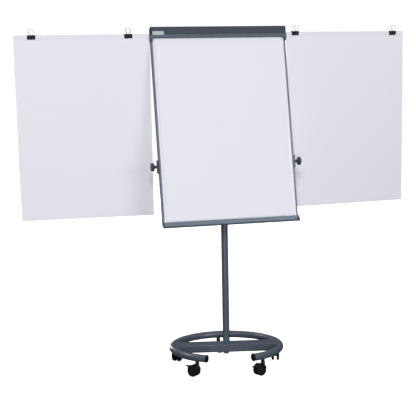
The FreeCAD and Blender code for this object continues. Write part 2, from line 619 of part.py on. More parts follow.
arm_data = {
    "left": {"side": -1, "x": -346.0, "y": 80.0, "e": 33.0, "u": 15.1, "turn": -6.13, "top": 1730.8,
             "shift": (7.9, 39.1), "twist": 4.14, "clips": ((107.0, 0.0), (591.0, 0.0)),
             "crank": (18.0, 23.0), "low": 1710.0},
    "right": {"side": 1, "x": 362.0, "y": 116.6, "e": 32.0, "u": 21.4, "turn": 1.42, "top": 1734.7,
              "shift": (17.9, -3.4), "twist": 4.05, "clips": ((50.0, 3.5), (616.5, -0.2)),
              "crank": (8.0, 13.0), "low": 1714.0}}
pins = []
for tag in ("left", "right"):
    data = arm_data[tag]
    side = data["side"]
    place = at(data["x"], data["y"], 0, (0, 0, 1), data["turn"])

    # Bracket: plate on the rail's back face with two lugs round the hinge pin.
    near = size("bracket_near_" + tag, -339.5 if side < 0 else 352.7)
    far = size("bracket_far_" + tag, -358.0 if side < 0 else 360.0)
    span = (far, near) if side < 0 else (near, far)
    flange = box("flange_" + tag, span, (frame_depth, frame_depth + 4), (-76, -16))
    for axis in "xyz":
        flange.setExpression("Placement.Base." + axis, None)
    flange.Placement = board_place.multiply(Place(Vec(number(span[0]), number(frame_depth), -76), Turn()))
    pieces = [flange]
    for end, low in (("top", arm_high + 0.5), ("low", arm_low - 0.5 - lug_thick)):
        name = "lug_%s_%s" % (end, tag)
        pieces.append(box(name, (data["x"] - lug_radius, data["x"] + lug_radius), (50, data["y"]),
                          (low, low + lug_thick)))
        pieces.append(rod(name + "_eye", "z", lug_radius, (data["x"], data["y"], low), lug_thick))
    solid = fuse("bracket_solid_" + tag, pieces)
    front = doc.addObject("Part::Box", "bracket_front_" + tag)
    front.Length = 200
    front.Width = 100
    front.Height = 200
    front.Placement = board_place.multiply(
        Place(Vec(data["x"] - 100, number(frame_depth) - 100, -150), Turn()))
    tools = [front, rod("bracket_bore_" + tag, "z", pin_radius, (data["x"], data["y"], 1600), 200),
             rod("bracket_room_" + tag, "z", lug_radius + 0.6, (data["x"], data["y"], arm_low - 0.4),
                 arm_high - arm_low + 0.8)]
    tools.append(rod("bracket_head_room_" + tag, "z", 6.4,
                     (data["x"], data["y"], arm_high + 0.5 + lug_thick), 20))
    if side > 0:
        tools.append(box("bracket_side_" + tag, (300, near), (0, 200), (1600, 1800)))
    keep("arm_bracket_" + tag, cut("bracket_cut_" + tag, solid, tools))
    pin = lathe("arm_pin_" + tag, [(0, arm_low - 8), (pin_radius, arm_low - 8), (pin_radius, arm_high + 6.5),
                                   (6, arm_high + 6.5), (6, arm_high + 8), (4.5, arm_high + 9.5),
                                   (0, arm_high + 9.5)])
    pin.Placement = at(data["x"], data["y"], 0)
    pins.append(pin)

    # Arm: knuckle, crank to the front and a flat bar the sheet hangs from.
    front_face = size("sheet_front_" + tag, -data["e"])
    low = size("arm_bar_low_" + tag, data["low"])
    crank_in = data["crank"][0]
    crank_out = data["crank"][1]

    def across(first, last):
        return (side * first, side * last) if side > 0 else (side * last, side * first)

    pieces = [
        rod("arm_knuckle_" + tag, "z", lug_radius, (0, 0, arm_low), arm_high - arm_low),
        box("arm_root_" + tag, across(3, crank_out), (-2.5, 2.5), (low, low + arm_tall)),
        box("arm_crank_" + tag, across(crank_in, crank_out), (front_face + paper, 2.5), (low, low + arm_tall)),
        box("arm_bar_" + tag, across(crank_in, arm_reach), (front_face + paper, front_face + paper + arm_thick),
            (low, low + arm_tall))]
    bore = rod("arm_bore_" + tag, "z", pin_radius + fit, (0, 0, arm_low - 5), arm_high - arm_low + 10)
    keep("arm_" + tag, cut("arm_cut_" + tag, fuse("arm_solid_" + tag, pieces), [bore]), place)

    # Sheet: a flat head behind the clips, then a gentle twist down to the lower edge.
    top = size("sheet_top_" + tag, data["top"])
    edge = size("sheet_inner_edge_" + tag, side * data["u"])
    spread = [(0, 0), (side * paper_wide, 0), (side * paper_wide, paper), (0, paper)]
    sections = []
    for end in ("head", "foot"):
        body = doc.addObject("PartDesign::Body", "sheet_%s_%s" % (end, tag))
        drawing = outline(body, "sheet_%s_%s" % (end, tag), "XY_Plane", spread)
        if end == "head":
            drawing.AttachmentOffset = at(edge, front_face, top - paper_head)
        else:
            drawing.AttachmentOffset = at(edge + data["shift"][0], front_face + data["shift"][1],
                                          top - paper_long, (0, 0, 1), data["twist"])
        sections.append(drawing)
    hang = doc.addObject("Part::Loft", "sheet_hang_" + tag)
    hang.Sections = sections
    hang.Solid = True
    hang.Ruled = True
    span = (edge, edge + paper_wide) if side > 0 else (edge - paper_wide, edge)
    head = box("sheet_top_strip_" + tag, span, (front_face, front_face + paper), (top - paper_head, top))
    keep("sheet_" + tag, fuse("sheet_solid_" + tag, [head, hang]), place)

    # Spring clips: folded plate body and two wire handles standing above it.
    clips = []
    handles = []
    for index, (along, lift) in enumerate(data["clips"]):
        centre = side * (data["u"] + along)
        base = data["top"] - 21.2 + max(lift, 0.0)
        middle = -data["e"] + number(paper + arm_thick) / 2
        half = number(paper + arm_thick) / 2
        shape = [(-9.6, 22.2), (9.6, 22.2), (half + 1.2, 0), (half, 0), (half, 1.4), (8.6, 21.4),
                 (-8.6, 21.4), (-half, 1.4), (-half, 0), (-half - 1.2, 0)]
        clip = prism("clip_%s_%d" % (tag, index), "x", shape, (-20, 20))
        clip.Placement = at(centre, middle, base)
        clips.append(clip)
        for face in (-1, 1):
            heart = [(-6.8, 0.6), (-6.8, 22.0), (-9.2, 28.5), (-12.4, 34.0), (-13.6, 40.0), (-12.0, 45.0),
                     (-8.6, 48.4), (-3.6, 49.8)]
            heart += [(-x, z) for x, z in reversed(heart)]
            path = [Vec(x, face * (half + 2.2 + 0.335 * z), z) for x, z in heart]
            spine = Part.makePolygon(path)
            section = Part.Wire([Part.makeCircle(0.9, path[0], path[1] - path[0])])
            wire = doc.addObject("Part::Feature", "handle_%s_%d_%s" % (tag, index, "f" if face < 0 else "r"))
            wire.Shape = spine.makePipeShell([section], True, False, 1)
            wire.Placement = at(centre, middle, base)
            handles.append(wire)
    keep("clips_" + tag, group("clip_group_" + tag, clips), place)
    keep("clip_handles_" + tag, group("handle_group_" + tag, handles), place)
keep("arm_hinge_pins", group("pin_group", pins))

# ---------------------------------------------------------------- rebuild, check, export

doc.recompute()
for item in doc.Objects:
    if "Invalid" in item.State or "Error" in item.State:
        raise RuntimeError("did not rebuild: " + item.Name)
for name, item in exports:
    if item.Shape.isNull() or not item.Shape.isValid():
        raise RuntimeError("bad shape: " + name)
    item.Shape.exportStep("parts/%s.step" % name)
    reach = item.Shape.BoundBox
    print("%-30s solids %d  volume %.0f  z %.1f %.1f" % (name, len(item.Shape.Solids), item.Shape.Volume,
                                                         reach.ZMin, reach.ZMax))
print(len(exports), "pieces")
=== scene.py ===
import json
import math

import bmesh
import bpy
from mathutils import Matrix, Vector, noise


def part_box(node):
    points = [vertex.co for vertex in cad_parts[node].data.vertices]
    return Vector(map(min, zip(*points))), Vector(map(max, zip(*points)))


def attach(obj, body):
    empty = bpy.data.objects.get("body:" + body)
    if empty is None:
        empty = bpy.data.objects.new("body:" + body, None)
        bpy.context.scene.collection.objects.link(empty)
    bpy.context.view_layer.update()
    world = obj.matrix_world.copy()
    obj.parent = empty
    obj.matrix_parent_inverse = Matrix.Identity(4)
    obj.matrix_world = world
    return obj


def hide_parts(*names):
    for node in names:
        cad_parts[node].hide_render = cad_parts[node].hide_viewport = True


# Flipchart easel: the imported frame, dressed.  Metres, Z up, front towards -Y.

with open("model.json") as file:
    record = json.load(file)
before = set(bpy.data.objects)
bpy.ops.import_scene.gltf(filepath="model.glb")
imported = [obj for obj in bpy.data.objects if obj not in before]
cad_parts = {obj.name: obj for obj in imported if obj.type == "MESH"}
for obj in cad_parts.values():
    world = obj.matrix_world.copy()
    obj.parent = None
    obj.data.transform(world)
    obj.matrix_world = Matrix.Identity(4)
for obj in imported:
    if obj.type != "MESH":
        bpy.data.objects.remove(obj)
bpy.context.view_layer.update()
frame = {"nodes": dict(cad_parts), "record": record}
JOINTS = {joint["name"]: joint for joint in frame["record"]["behaviour"]["joints"]}
SIDES = (("left", -1), ("right", 1))
CASTERS = ("front_left", "front_right", "right", "back", "left")


def spot(joint):
    """The point a joint turns about."""
    return Vector(JOINTS[joint]["pos_m"])


# ---------------------------------------------------------------- local frames

UP = Vector(JOINTS["board_height"]["axis"])
BOARD_TURN = Matrix.Rotation(-math.atan2(UP.y, UP.z), 4, "X")
HINGE = Vector((0, 0.014, -0.009))  # a point of the clamp's hinge line, in the board's own frame
BOARD = Matrix.Translation(spot("clamp_bar_hinge") - BOARD_TURN @ HINGE) @ BOARD_TURN
ARM_TURN = {"left": -6.13, "right": 1.42}  # degrees at rest
ARM = {}
for tag, side in SIDES:
    hinge = spot("side_arm_%s_hinge" % tag)
    place = Matrix.Translation((hinge.x, hinge.y, 0))
    ARM[tag] = place @ Matrix.Rotation(math.radians(ARM_TURN[tag]), 4, "Z")
BACKWARD = spot("caster_left_swivel") + spot("caster_right_swivel")  # the sum points to the back
BASE = Matrix.Rotation(math.atan2(BACKWARD.y, BACKWARD.x) - math.pi / 2, 4, "Z")


def caster_frame(tag):
    """A caster's own frame: the swivel axis at the origin, the trail along +X."""
    centre = spot("caster_%s_swivel" % tag)
    ahead = spot("caster_%s_roll" % tag) - centre
    place = Matrix.Translation((centre.x, centre.y, 0))
    return place @ Matrix.Rotation(math.atan2(ahead.y, ahead.x), 4, "Z")


# ---------------------------------------------------------------- materials

def blank(name, colour, metallic, roughness):
    """A new material of one colour, and its shader."""
    material = bpy.data.materials.new(name)
    material.use_nodes = True
    shader = material.node_tree.nodes["Principled BSDF"]
    shader.inputs["Base Color"].default_value = (*colour, 1)
    shader.inputs["Metallic"].default_value = metallic
    shader.inputs["Roughness"].default_value = roughness
    return material, shader


def add(owner, kind, inputs=None, **settings):
    """One node of a material or world, with its settings; its inputs are either linked or set."""
    node = owner.node_tree.nodes.new(kind)
    for key, value in settings.items():
        setattr(node, key, value)
    for key, value in (inputs or {}).items():
        if isinstance(value, bpy.types.NodeSocket):
            owner.node_tree.links.new(value, node.inputs[key])
        else:
            node.inputs[key].default_value = value
    return node


def drive(material, shader, name, output):
    """One input of the shader, linked."""
    material.node_tree.links.new(output, shader.inputs[name])


def place_of(material, stretch):
    """Object coordinates in metres, stretched."""
    where = add(material, "ShaderNodeTexCoord").outputs["Object"]
    return add(material, "ShaderNodeMapping", {"Vector": where, "Scale": stretch}).outputs["Vector"]


def grain(material, scale, stretch=(1, 1, 1), detail=3.0):
    """A noise over the piece's own coordinates."""
    inputs = {"Vector": place_of(material, stretch), "Scale": scale, "Detail": detail}
    return add(material, "ShaderNodeTexNoise", inputs).outputs["Fac"]


def spread(material, value, low, high):
    """Noise, mostly between 0.3 and 0.7, mapped to a range."""
    inputs = {"Value": value, "From Min": 0.3, "From Max": 0.7, "To Min": low, "To Max": high}
    return add(material, "ShaderNodeMapRange", inputs).outputs["Result"]


def scaled(colour, factors):
    """The colour times one factor for each of its parts, and opaque."""
    return tuple(part * factor for part, factor in zip(colour, factors)) + (1,)


def mixed(material, amount, first, second):
    """Two colours mixed.  6, 7 and 2 are the numbers of the mix node's sockets for colours."""
    node = add(material, "ShaderNodeMix", {0: amount, 6: first, 7: second}, data_type="RGBA")
    return node.outputs[2]


def tint(material, shader, value, colour, low, high):
    """The colour made darker and lighter by a noise."""
    shade = mixed(material, value, scaled(colour, [low] * 3), scaled(colour, [high] * 3))
    drive(material, shader, "Base Color", shade)
    return shade


def bump(material, shader, value, strength, distance):
    """Fine relief from a noise."""
    node = add(material, "ShaderNodeBump", {"Height": value, "Strength": strength, "Distance": distance})
    drive(material, shader, "Normal", node.outputs["Normal"])


def powder_coat(name, colour, roughness, gloss=0.5):
    """Satin paint baked on steel: fine orange peel and a faint mottling."""
    material, shader = blank(name, colour, 0.0, roughness)
    tint(material, shader, spread(material, grain(material, 9), 0, 1), colour, 0.97, 1.03)
    rough = spread(material, grain(material, 35), roughness - 0.015, roughness + 0.02)
    drive(material, shader, "Roughness", rough)
    bump(material, shader, grain(material, 900, detail=2.0), 0.12, 0.0001)
    shader.inputs["Specular IOR Level"].default_value = gloss
    return material


def anodised(name, colour, along):
    """Anodised aluminium with drawing lines along one axis."""
    material, shader = blank(name, colour, 0.75, 0.42)
    stretch = tuple(0.02 if axis == along else 1.0 for axis in "xyz")
    lines = grain(material, 700, stretch, 2.0)
    tint(material, shader, spread(material, grain(material, 6), 0, 1), colour, 0.95, 1.05)
    rough = spread(material, lines, 0.36, 0.48)
    drive(material, shader, "Roughness", rough)
    bump(material, shader, lines, 0.12, 0.0001)
    return material


def moulded(name, colour, roughness=0.55, texture=1400, gloss=0.5):
    """Moulded plastic with a fine spark-eroded texture."""
    material, shader = blank(name, colour, 0.0, roughness)
    tint(material, shader, spread(material, grain(material, 20), 0, 1), colour, 0.9, 1.12)
    rough = spread(material, grain(material, 60), roughness - 0.07, roughness + 0.07)
    drive(material, shader, "Roughness", rough)
    bump(material, shader, grain(material, texture, detail=4.0), 0.25, 0.00012)
    shader.inputs["Specular IOR Level"].default_value = gloss
    return material


def bare_steel(name, colour, roughness):
    """Steel with a fine, uneven sheen."""
    material, shader = blank(name, colour, 1.0, roughness)
    tint(material, shader, spread(material, grain(material, 60), 0, 1), colour, 0.92, 1.05)
    rough = spread(material, grain(material, 300), roughness - 0.06, roughness + 0.08)
    drive(material, shader, "Roughness", rough)
    bump(material, shader, grain(material, 1500), 0.08, 0.00005)
    return material


SQUARE = 0.025  # the printed squares
LINE_CORE, LINE_EDGE = 0.0003, 0.0007  # a printed line is full to the first half width, gone at the second
BAND_BLUR = 0.004
# painted shade: the colour factors for the strip at a sheet's top, where the bar behind shows through the
# paper
BAND_SHADE = (0.94, 0.945, 0.96)


def falling(material, value, start, end):
    """1 up to the start and 0 from the end on."""
    inputs = {"Value": value, "From Min": start, "From Max": end, "To Min": 1, "To Max": 0}
    return add(material, "ShaderNodeMapRange", inputs).outputs["Result"]


def calculated(material, operation, first, second):
    """The result of a math node for two values."""
    return add(material, "ShaderNodeMath", {0: first, 1: second}, operation=operation).outputs[0]


def printed_paper(name, colour, ink, strength, shade_band=0.0):
    """White paper printed with pale squares; its UV map is in metres.  The last argument, if given, is the
    height of a strip at the top painted darker: painted shade of the bar behind, seen through the paper."""
    material, shader = blank(name, colour, 0.0, 0.75)
    where = add(material, "ShaderNodeUVMap", uv_map="metres").outputs["UV"]
    parts = add(material, "ShaderNodeSeparateXYZ", {"Vector": where})
    lines = []
    for axis in "XY":
        from_line = calculated(material, "PINGPONG", parts.outputs[axis], SQUARE / 2)
        lines.append(falling(material, from_line, LINE_CORE, LINE_EDGE))
    both = calculated(material, "MAXIMUM", *lines)
    amount = calculated(material, "MULTIPLY", both, strength)
    fibres = spread(material, grain(material, 260, detail=6.0), 0, 1)
    sheet = tint(material, shader, fibres, colour, 0.985, 1.01)
    printed = mixed(material, amount, sheet, (*ink, 1))
    # painted shade: the strip at the top is darkened, standing for the bar behind seen through the paper
    if shade_band:
        shade_amount = falling(material, parts.outputs["Y"], shade_band - BAND_BLUR, shade_band + BAND_BLUR)
        printed = mixed(material, shade_amount, printed, scaled(colour, BAND_SHADE))
    drive(material, shader, "Base Color", printed)
    bump(material, shader, grain(material, 700, detail=6.0), 0.12, 0.0001)
    return material


def page_edges(name, colour):
    """The side of a stack of sheets: fine lines, one behind the other."""
    material, shader = blank(name, colour, 0.0, 0.8)
    lines = grain(material, 1800, (0.01, 1, 0.01), 2.0)
    tint(material, shader, spread(material, lines, 0, 1), colour, 0.86, 1.02)
    bump(material, shader, lines, 0.4, 0.0002)
    return material


MAT = {
    "base": powder_coat("base_paint", (0.066, 0.083, 0.115), 0.34),
    "tube": powder_coat("tube_paint", (0.072, 0.091, 0.127), 0.30, 0.8),
    "clamp": powder_coat("clamp_paint", (0.054, 0.065, 0.086), 0.5, 0.15),
    "rail": anodised("rail_aluminium", (0.115, 0.135, 0.178), "z"),
    "tray": anodised("tray_aluminium", (0.110, 0.129, 0.163), "x"),
    "lip": anodised("tray_lip", (0.045, 0.055, 0.075), "x"),
    "corner": moulded("corner_plastic", (0.084, 0.107, 0.140)),
    "dark": moulded("dark_plastic", (0.004, 0.004, 0.005), gloss=0.2),
    "knob": moulded("knob_plastic", (0.028, 0.036, 0.052), 0.45),
    "board": powder_coat("board_white", (0.76, 0.76, 0.82), 0.25),
    "pad": printed_paper("pad_paper", (0.80, 0.80, 0.866), (0.55, 0.62, 0.72), 0.16),
    "edges": page_edges("pad_edges", (0.76, 0.76, 0.77)),
    # its last number is the height of the strip of painted shade at the sheet's top
    "sheet": printed_paper("sheet_paper", (0.82, 0.82, 0.889), (0.55, 0.62, 0.73), 0.16, 0.024),
    "plate": moulded("plate_grey", (0.42, 0.44, 0.48), 0.4),
    "steel": bare_steel("steel", (0.46, 0.47, 0.49), 0.38),
    "black_steel": bare_steel("blackened_steel", (0.045, 0.045, 0.05), 0.42),
    "wire": bare_steel("wire_nickel", (0.60, 0.60, 0.62), 0.3),
    "clip": powder_coat("clip_black", (0.012, 0.012, 0.014), 0.22),
    "caster": moulded("caster_plastic", (0.004, 0.004, 0.005), 0.45, gloss=0.25),
    "tyre": moulded("tyre_plastic", (0.007, 0.007, 0.008), 0.6, 700, 0.2),
}

# ---------------------------------------------------------------- mesh helpers

WELD_MESH, WELD_CAD = 1e-6, 1e-5
BEVEL_ANGLE = 38


def finish_mesh(name, builder, material, body, place=None, sharp=35, bevel=0.0, segments=2, welded=True):
    """Turns a bmesh into a piece: smooth but for its sharp edges, riding on its body.  Paper is
    left unwelded, since its two faces lie close together."""
    if welded:
        bmesh.ops.remove_doubles(builder, verts=builder.verts, dist=WELD_MESH)
    bmesh.ops.recalc_face_normals(builder, faces=builder.faces)
    for face in builder.faces:
        face.smooth = True
    limit = math.radians(sharp)
    for edge in builder.edges:
        if len(edge.link_faces) != 2 or edge.calc_face_angle(0.0) > limit:
            edge.smooth = False
    mesh = bpy.data.meshes.new(name)
    builder.to_mesh(mesh)
    builder.free()
    if place is not None:
        mesh.transform(place)
    piece = bpy.data.objects.new(name, mesh)
    bpy.context.collection.objects.link(piece)
    mesh.materials.append(MAT[material])
    if bevel:
        soften(piece, bevel, segments)
    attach(piece, body)
    return piece


def soften(piece, width, segments):
    """Rounded edges, as a modifier."""
    edge = piece.modifiers.new("edges", "BEVEL")
    edge.width = width
    edge.segments = segments
    edge.limit_method = "ANGLE"
    edge.angle_limit = math.radians(BEVEL_ANGLE)
    edge.harden_normals = False


def loft(rings, turned_round=False):
    """Faces between rows of points.  Rows are closed rings and the two ends are capped; or, turned
    round an axis, they are open lines and the last row joins the first."""
    builder = bmesh.new()
    rows = [[builder.verts.new(point) for point in ring] for ring in rings]
    joined = rows + rows[:1] if turned_round else rows
    for first, second in zip(joined, joined[1:]):
        size = len(first)
        for j in range(size - 1 if turned_round else size):
            k = (j + 1) % size
            builder.faces.new((first[j], first[k], second[k], second[j]))
    if not turned_round:
        builder.faces.new(rows[0])
        builder.faces.new(list(reversed(rows[-1])))
    return builder


def turned(profile, steps, wave=None):
    """A profile of (radius, height) turned about Z.  wave changes a radius by its angle."""
    rings = []
    for step in range(steps):
        turn = 2 * math.pi * step / steps
        ring = []
        for radius, height in profile:
            reach = wave(radius, turn) if wave else radius
            ring.append((reach * math.cos(turn), reach * math.sin(turn), height))
        rings.append(ring)
    return loft(rings, turned_round=True)


def pushed(outline, low, high, axis="x"):
    """A flat outline pushed along an axis; its points are (y, z), (x, z) or (x, y)."""
    order = {"x": lambda a, b, c: (c, a, b), "y": lambda a, b, c: (a, c, b), "z": lambda a, b, c: (a, b, c)}
    point = order[axis]
    return loft([[point(a, b, end) for a, b in outline] for end in (low, high)])


def rounded(points, radius, steps):
    """An open line whose corners become arcs, each within half of the legs beside it."""
    most = 0.48
    line = [Vector(points[0])]
    for before, here, after in zip(points, points[1:], points[2:]):
        here = Vector(here)
        first = Vector(before) - here
        second = Vector(after) - here
        half = first.angle(second) / 2
        reach = min(radius / math.tan(half), first.length * most, second.length * most)
        start = here + first.normalized() * reach
        end = here + second.normalized() * reach
        for step in range(steps + 1):
            t = step / steps
            line.append(start * (1 - t) ** 2 + here * 2 * t * (1 - t) + end * t ** 2)
    line.append(Vector(points[-1]))
    return line


def folded(points, thickness, radius, steps):
    """The section of a bent plate: an outline one thickness wide that follows a line."""
    line = rounded(points, radius, steps)
    left = []
    right = []
    for i, here in enumerate(line):
        ahead = (line[min(i + 1, len(line) - 1)] - line[max(i - 1, 0)]).normalized()
        out = Vector((-ahead.y, ahead.x)) * thickness / 2
        left.append(here + out)
        right.append(here - out)
    return [tuple(p) for p in left + right[::-1]]


def mm(points):
    """Points given in millimetres, in metres."""
    return [tuple(c / 1000 for c in p) for p in points]


def wire_mesh(name, points, radius, resolution=6):
    """A round wire along a smooth line, as a mesh builder."""
    curve = bpy.data.curves.new(name, "CURVE")
    curve.dimensions = "3D"
    curve.bevel_depth = radius
    curve.bevel_resolution = 4
    curve.use_fill_caps = True
    spline = curve.splines.new("NURBS")
    spline.points.add(len(points) - 1)
    for point, where in zip(spline.points, points):
        point.co = (*where, 1)
    spline.order_u = 4
    spline.resolution_u = resolution
    spline.use_endpoint_u = True
    holder = bpy.data.objects.new(name, curve)
    bpy.context.collection.objects.link(holder)
    mesh = bpy.data.meshes.new_from_object(holder.evaluated_get(bpy.context.evaluated_depsgraph_get()))
    builder = bmesh.new()
    builder.from_mesh(mesh)
    bpy.data.objects.remove(holder)
    bpy.data.meshes.remove(mesh)
    return builder


def dress(node, material, bevel=0.0, segments=2):
    """A CAD node kept as it is, with its material and, if asked, softened edges."""
    item = frame["nodes"][node]
    item.data.materials.clear()
    item.data.materials.append(MAT[material])
    if bevel:
        weld = item.modifiers.new("weld", "WELD")
        weld.merge_threshold = WELD_CAD
        soften(item, bevel, segments)


def join(builders):
    """Several builders as one."""
    whole = bmesh.new()
    for builder in builders:
        mesh = bpy.data.meshes.new("part")
        builder.to_mesh(mesh)
        builder.free()
        whole.from_mesh(mesh)
        bpy.data.meshes.remove(mesh)
    return whole


def shifted(builder, place):
    """The builder with its points moved."""
    bmesh.ops.transform(builder, matrix=place, verts=builder.verts)
    return builder


# ---------------------------------------------------------------- base, post and yoke

RING = (spot("caster_back_swivel") * Vector((1, 1, 0))).length
RING_TUBE = 0.019
RING_HEIGHT = 0.098
RING_GAP = math.radians(25.3)
RING_STEPS, RING_SIDES = 120, 28
BEAD = 0.0016
BEAD_ACROSS = 0.0432  # just outside the crossbar's sides
BEAD_SUNK = 0.0008
BEAD_LEAN = 48  # degrees up and down from the level of the ring's centre line
BEAD_POINTS = 12
POST_WALL = 0.002
POST_FOOT = 0.006
POST_BORE = 0.005
POST_EDGE = 0.0006


def ring_place(turn):
    """The base ring's centre line; the turn is counted from the front."""
    return Vector((RING * math.sin(turn), -RING * math.cos(turn), RING_HEIGHT))


def build_ring():
    """The bent tube, drawn as rings of its section, and its two plastic end caps."""
    rings = []
    for step in range(RING_STEPS + 1):
        turn = RING_GAP + (2 * math.pi - 2 * RING_GAP) * step / RING_STEPS
        out = Vector((math.sin(turn), -math.cos(turn), 0))
        centre = ring_place(turn)
        ring = []
        for side in range(RING_SIDES):
            around = 2 * math.pi * side / RING_SIDES
            reach = out * math.cos(around) + Vector((0, 0, 1)) * math.sin(around)
            ring.append(centre + reach * RING_TUBE)
        rings.append(ring)
    piece = finish_mesh("ring_tube", loft(rings), "tube", "base", BASE)
    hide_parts("base_ring")
    # a plug in the tube, a flange against its end and a domed face
    profile = mm([(0, -9), (16.4, -9), (16.4, -0.2), (19.9, -0.2), (20.2, 0.3), (20.2, 3.4), (19.8, 4.8),
                  (18.8, 6.0), (17.2, 6.7), (15.0, 7.0), (0, 7.0)])
    caps = []
    for side in (-1, 1):
        ahead = Vector((-side * math.cos(RING_GAP), -math.sin(RING_GAP), 0))
        turn_to = Vector((0, 0, 1)).rotation_difference(ahead).to_matrix().to_4x4()
        place = Matrix.Translation(ring_place(side * RING_GAP)) @ turn_to
        caps.append(shifted(turned(profile, 36), place))
    piece = finish_mesh("ring_caps", join(caps), "dark", "base", BASE)
    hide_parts("ring_end_caps")


def build_welds():
    """Beads where the crossbar meets the ring, along the curve of the tube."""
    beads = []
    for side in (-1, 1):
        for edge in (-1, 1):
            y = edge * BEAD_ACROSS
            path = []
            for step in range(BEAD_POINTS):
                lean = math.radians(-BEAD_LEAN + 2 * BEAD_LEAN * step / (BEAD_POINTS - 1))
                reach = RING - RING_TUBE * math.cos(lean)
                across = side * math.sqrt(reach * reach - y * y)
                path.append((across - side * BEAD_SUNK, y, RING_HEIGHT + RING_TUBE * math.sin(lean)))
            beads.append(wire_mesh("bead", path, BEAD))
    piece = finish_mesh("weld_beads", join(beads), "base", "base", BASE)


def build_post():
    """The post with its wall, an open top and a thick foot round the bolt."""
    low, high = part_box("post_tube")
    outside = high.x
    inside = outside - POST_WALL
    floor = low.z + POST_FOOT
    profile = [(POST_BORE, low.z), (outside - POST_EDGE, low.z), (outside, low.z + POST_EDGE),
               (outside, high.z - 0.0002), (inside, high.z), (inside, floor), (POST_BORE, floor),
               (POST_BORE, low.z)]
    piece = finish_mesh("post", turned(profile, 64), "tube", "mast")
    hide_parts("post_tube")


build_ring()
build_welds()
build_post()
dress("base_crossbar", "base", 0.0006)
dress("caster_stems", "black_steel", 0.0004)
dress("foot_bolt", "steel", 0.0006)
dress("yoke_crossbar", "base", 0.0018, 3)
for tag, side in SIDES:
    dress("yoke_arm_" + tag, "base", 0.0006)

# ---------------------------------------------------------------- casters


def build_wheels(tag, place):
    """Two wheels, each with a rounded tread, a raised rim, a dished disc and a hub."""
    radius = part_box("caster_%s_wheels" % tag)[1].z / 2
    profile = mm([(3, 7.6), (26.3, 7.6), (27.7, 8.0), (28.4, 9.0), (28.5, 10.5), (28.5, 17.0), (28.3, 18.4),
                  (27.6, 19.6), (26.3, 20.3), (22.5, 20.6), (21.1, 20.5), (20.2, 20.0), (19.6, 18.9),
                  (17.0, 18.4), (10.4, 18.6), (9.2, 19.0), (8.4, 20.2), (7.6, 20.6), (0, 20.6), (0, 19.9),
                  (3, 19.9), (3, 7.6)])
    wheels = []
    for side in (-1, 1):
        turn = Matrix.Rotation(math.radians(-90 * side), 4, "X")
        wheels.append(shifted(turned(profile, 56), turn))
    trail = spot("caster_%s_roll" % tag) - spot("caster_%s_swivel" % tag)
    centre = Vector((math.hypot(trail.x, trail.y), 0, radius))
    piece = finish_mesh("caster_%s_treads" % tag, join(wheels), "tyre", "caster_%s_roller" % tag,
                        place @ Matrix.Translation(centre))
    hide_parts("caster_%s_wheels" % tag)


for tag in CASTERS:
    build_wheels(tag, caster_frame(tag))
    dress("caster_%s_housing" % tag, "caster", 0.0007)
    dress("caster_%s_axle" % tag, "steel", 0.0003)
for tag in ("front_left", "front_right"):
    dress("brake_lever_" + tag, "caster", 0.0006)

# ---------------------------------------------------------------- paper

SHEET_WIDE = 0.680
PAPER_SHARP = 50
PAPER_NORMAL_STEP = 0.05


def paper_mesh(surface, columns, rows, wide, long, thick):
    """A closed thin sheet over a surface of (across, down), with a UV map in metres."""
    builder = bmesh.new()
    layer = builder.loops.layers.uv.new("metres")
    near, far = 0.5 - PAPER_NORMAL_STEP, 0.5 + PAPER_NORMAL_STEP
    down = surface(0.5, far) - surface(0.5, near)
    across = surface(far, 0.5) - surface(near, 0.5)
    normal = down.cross(across).normalized()
    sides = []
    for face in (0.5, -0.5):
        grid = []
        for j in range(rows + 1):
            grid.append([builder.verts.new(surface(i / columns, j / rows) + normal * thick * face)
                         for i in range(columns + 1)])
        sides.append(grid)

    def quad(corners, places):
        """One face, its UV taken from its corners' places in the grid."""
        item = builder.faces.new(corners)
        for loop, (i, j) in zip(item.loops, places):
            loop[layer].uv = (i / columns * wide, j / rows * long)

    for grid in sides:
        for j in range(rows):
            for i in range(columns):
                places = [(i, j), (i + 1, j), (i + 1, j + 1), (i, j + 1)]
                quad([grid[row][column] for column, row in places], places)
    front, back = sides
    rim = [(i, 0) for i in range(columns)] + [(columns, j) for j in range(rows)]
    rim += [(i, rows) for i in range(columns, 0, -1)] + [(0, j) for j in range(rows, 0, -1)]
    for (i, j), (next_i, next_j) in zip(rim, rim[1:] + rim[:1]):
        corners = [front[j][i], front[next_j][next_i], back[next_j][next_i], back[j][i]]
        quad(corners, [(i, j), (next_i, next_j), (next_i, next_j), (i, j)])
    return builder


def finish_paper(name, sheet, material, body, place):
    """A sheet of paper as a piece."""
    return finish_mesh(name, sheet, material, body, place, sharp=PAPER_SHARP, welded=False)


# ---------------------------------------------------------------- board

PAD_TOP, PAD_FOOT = -0.014, -0.987
PAD_FRONT, PAD_BACK = -0.0016, 0.002
PAGE_FRONT = -0.0019  # a hair in front of the stack
PAGE_WAVE = 0.00022
PAGE_CURL = 0.0004
CURL_FROM = 0.985  # the share of its height from which the page's foot curls
PAGE_THICK = 0.00018
BAR_HALF = 0.3585
BAR_HALF_OPEN = 0.3476  # between the frame rails, where the top plate reaches back to the hinge
BAR_FRONT, BAR_LOW, BAR_TOP, BAR_BACK = -15, -40, -1.2, 13.6  # mm
BAR_SHORT_BACK = 7.4  # mm, over the frame rails
BAR_PLATE, BAR_BEND = 0.0019, 0.0042
HINGE_KNUCKLES = ((-348, -265), (-235, 235), (265, 348))  # mm along the rod
LIP_HALF = 0.3503
CAP_LAYERS = 12
SPRING_TURNS, SPRING_STEPS = 7, 14
SPRING_COIL, SPRING_WIRE, SPRING_PITCH = 0.0046, 0.0012, 0.0026
SPRING_ACROSS, SPRING_HALF = 0.250, 0.0085
SPRING_LEG = 0.0075
LEG_START, LEG_END = -0.0012, 0.0195  # the legs' places, counted from the start of the coil
